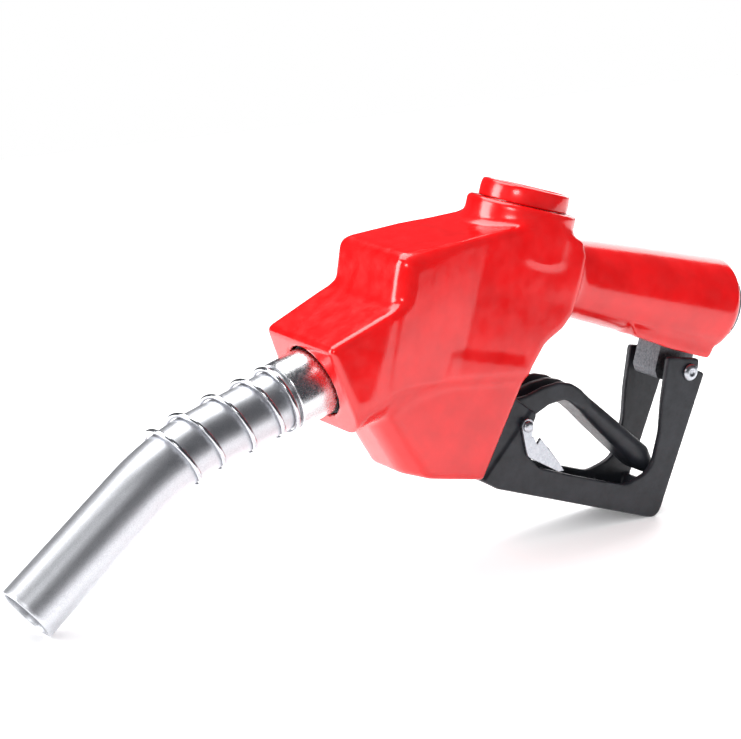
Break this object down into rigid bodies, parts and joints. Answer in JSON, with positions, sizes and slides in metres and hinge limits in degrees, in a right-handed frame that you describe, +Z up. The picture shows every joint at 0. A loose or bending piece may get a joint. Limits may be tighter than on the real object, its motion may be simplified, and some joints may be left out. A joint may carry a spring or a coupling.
{
  "type": "automatic fuel nozzle",
  "caption": "Hand-held automatic fuel nozzle with bent metal spout, soft cover, squeeze lever under a hand guard and a hold-open latch.",
  "frame": {"origin": "bottom centre of the bounding box, on the floor that the spout tip and the guard corner stand on", "axes": "+X from the spout tip to the inlet end, +Y across the nozzle, normal to its plane of symmetry, +Z up from the floor"},
  "size_m": [0.4192, 0.063, 0.1841],
  "materials": {
    "cast_body": "sand-cast, matt",
    "red_vinyl": "glossy dip-moulded vinyl",
    "black_nylon": "satin moulded nylon",
    "spout_tube": "fine grained, bright",
    "machined": "machined satin",
    "spring_steel": "drawn wire",
    "zinc_plate": "bright zinc plate",
    "brass": "machined",
    "seal_rubber": "matt",
    "fluoropolymer": "white, satin"
  },
  "bodies": {
    "body": {"valve_body": "cast_body", "vacuum_cap": "cast_body", "scuff_cover": "red_vinyl", "cap_cover": "red_vinyl", "hand_guard": "black_nylon", "spout": "spout_tube", "sensing_tube": "spout_tube", "poppet_cap": "machined", "spout_collar": "machined", "poppet_spring": "spring_steel", "diaphragm_spring": "spring_steel", "trip_spring": "spring_steel", "check_spring": "spring_steel", "spout_spring": "spring_steel", "inlet_strainer": "spring_steel", "vacuum_cap_screw_1": "zinc_plate", "vacuum_cap_screw_2": "zinc_plate", "vacuum_cap_screw_3": "zinc_plate", "vacuum_cap_screw_4": "zinc_plate", "guard_rivet": "zinc_plate", "guard_screw_near": "zinc_plate", "guard_screw_far": "zinc_plate", "latch_rivet_near": "zinc_plate", "latch_rivet_far": "zinc_plate", "collar_screw": "zinc_plate", "seat_ring": "brass", "gland_nut": "brass", "check_guide": "brass", "check_seat": "brass", "cap_seal": "seal_rubber", "diaphragm": "seal_rubber", "trip_stem_seal": "seal_rubber", "collar_seal": "seal_rubber", "stem_packing": "fluoropolymer"},
    "poppet": {"main_stem": "spring_steel", "poppet_disc": "brass", "poppet_seal": "seal_rubber", "poppet_nut": "zinc_plate"},
    "trip": {"trip_stem": "spring_steel", "latch_ball_1": "spring_steel", "latch_ball_2": "spring_steel", "latch_ball_3": "spring_steel", "lever_pin": "zinc_plate"},
    "lever": {"lever": "black_nylon"},
    "latch": {"hold_open_latch": "zinc_plate"},
    "check": {"check_poppet": "brass"},
    "vacuum": {"trip_latch_pin": "spring_steel", "diaphragm_plate": "machined", "diaphragm_nut": "zinc_plate"}
  },
  "joints": [
    {"name": "trip_stem_slide", "type": "slide", "parent": "body", "child": "trip", "axis": [-0.2762, 0, -0.9611], "range_m": [0, 0.006], "stiffness_N_per_m": 800, "springref_m": -0.012, "deforming": ["trip_spring"]},
    {"name": "lever_pivot", "type": "hinge", "parent": "trip", "child": "lever", "pos_m": [0.00235, 0, 0.06396], "axis": [0, -1, 0], "range_deg": [0, 10], "stiffness_Nm_per_rad": 3, "springref_deg": -17.19},
    {"name": "poppet_slide", "type": "slide", "parent": "body", "child": "poppet", "axis": [0.2762, 0, 0.9611], "range_m": [0, 0.0104], "deforming": ["poppet_spring"]},
    {"name": "latch_pivot", "type": "hinge", "parent": "body", "child": "latch", "pos_m": [0.06922, 0, 0.06202], "axis": [0, -1, 0], "range_deg": [0, 22]},
    {"name": "check_valve_slide", "type": "slide", "parent": "body", "child": "check", "axis": [-0.9544, 0, -0.2985], "range_m": [0, 0.005], "stiffness_N_per_m": 150, "springref_m": -0.005, "deforming": ["check_spring"]},
    {"name": "diaphragm_lift", "type": "slide", "parent": "body", "child": "vacuum", "axis": [0.2762, 0, 0.9611], "range_m": [0, 0.003], "stiffness_N_per_m": 300, "springref_m": -0.004, "deforming": ["diaphragm_spring", "diaphragm"]}
  ],
  "couplings": [
    {"joint": "poppet_slide", "follows": "lever_pivot", "m_per_rad": 0.0585}
  ]
}
